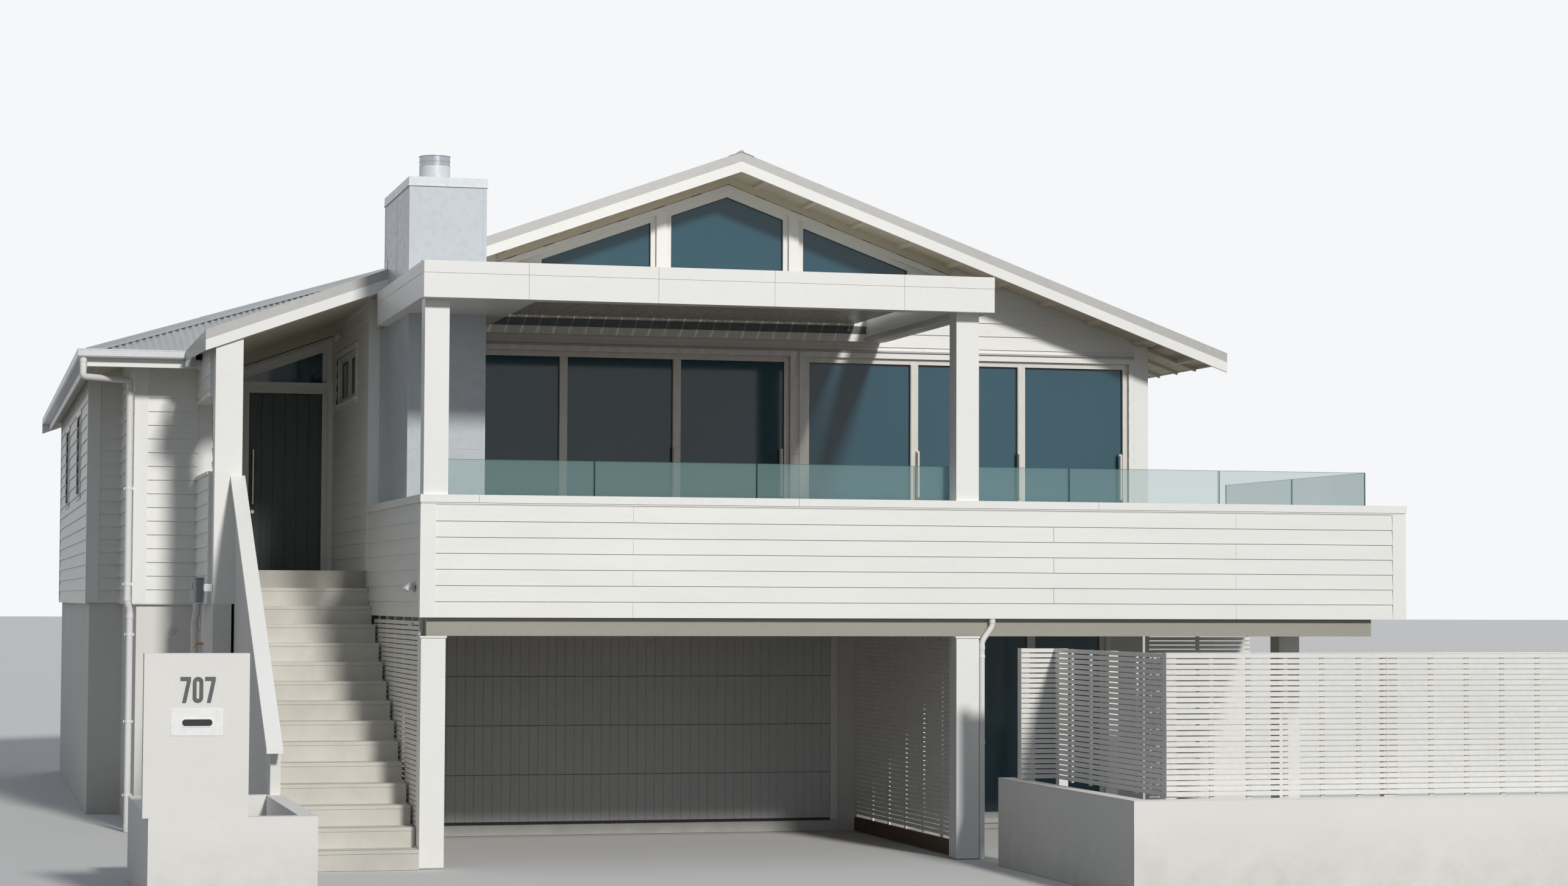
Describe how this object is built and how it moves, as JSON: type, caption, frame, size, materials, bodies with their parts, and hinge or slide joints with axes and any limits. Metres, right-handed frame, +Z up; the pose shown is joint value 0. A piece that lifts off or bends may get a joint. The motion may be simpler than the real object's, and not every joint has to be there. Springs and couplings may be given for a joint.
{
  "type": "beach house",
  "caption": "Two-storey gabled beach house over a garage, with a walled stair to a porch, a post-held balcony with a louvred pergola and an outdoor fireplace.",
  "frame": {"origin": "foot of the front left balcony post, on the post's axis, at ground level", "axes": "+X to the right along the front, +Y into the house, +Z up"},
  "size_m": [15.2345, 23.002, 7.5972],
  "materials": {
    "cap_metal": "brushed",
    "concrete": "matt",
    "dark_frames": "powder coated",
    "door_paint": "painted, satin",
    "door_steel": "brushed",
    "eave_timber": "painted, matt",
    "fireplace_sheets": "satin",
    "flashings": "satin",
    "garage_paint": "satin",
    "garden_plaster": "painted, matt",
    "gutter_metal": "satin",
    "light_frames": "painted, satin",
    "louvre_metal": "satin",
    "pipe_paint": "satin",
    "plaster": "matt",
    "roof_sheets": "satin",
    "screen_glass": "clear, tinted",
    "slat_paint": "painted, satin",
    "soffit_paint": "painted, matt",
    "timber_floor": "matt",
    "weatherboards": "painted, satin",
    "white_boards": "painted, satin",
    "window_glass": "clear, dark behind"
  },
  "bodies": {
    "house": {"garage_floor": "concrete", "upper_floor": "timber_floor", "lower_side_walls": "plaster", "lower_end_walls": "plaster", "front_wall": "weatherboards", "right_wall": "weatherboards", "rear_wall": "weatherboards", "left_walls": "weatherboards", "porch_walls": "weatherboards", "entry_wall": "weatherboards", "roof_right": "roof_sheets", "roof_gable_left": "roof_sheets", "roof_rear_left": "roof_sheets", "roof_hip": "roof_sheets", "barge_boards": "white_boards", "barge_flashings": "flashings", "rafters": "eave_timber", "gutters": "gutter_metal", "downpipes": "pipe_paint", "balcony_posts": "white_boards", "beams": "white_boards", "joists": "eave_timber", "balcony_deck": "timber_floor", "parapets": "white_boards", "parapet_caps": "white_boards", "glass_screen": "screen_glass", "pergola_posts": "white_boards", "pergola_frame": "white_boards", "louvres": "louvre_metal", "fireplace": "fireplace_sheets", "chimney_top": "cap_metal", "sliding_door_frames": "dark_frames", "gable_window_frames": "light_frames", "window_frames": "light_frames", "window_glass": "window_glass", "entry_frame": "light_frames", "garage_door": "garage_paint", "porch_floor": "concrete", "porch_column": "white_boards", "porch_side": "weatherboards", "porch_ceiling": "soffit_paint", "stair": "concrete", "stair_wall": "plaster", "stair_wall_cap": "white_boards", "left_screen": "slat_paint", "middle_screen": "slat_paint", "side_screen": "slat_paint", "fence_front": "slat_paint", "fence_side_panel": "slat_paint", "fence_return_panel": "slat_paint", "retaining_walls": "garden_plaster", "letterbox_wall": "garden_plaster", "planter": "garden_plaster"},
    "door": {"entry_door": "door_paint", "door_pull": "door_steel"}
  },
  "joints": [
    {"name": "entry_door_hinge", "type": "hinge", "parent": "house", "child": "door", "pos_m": [-0.2525, 7.335, 2.856], "axis": [0, 0, -1], "range_deg": [0, 90]}
  ]
}
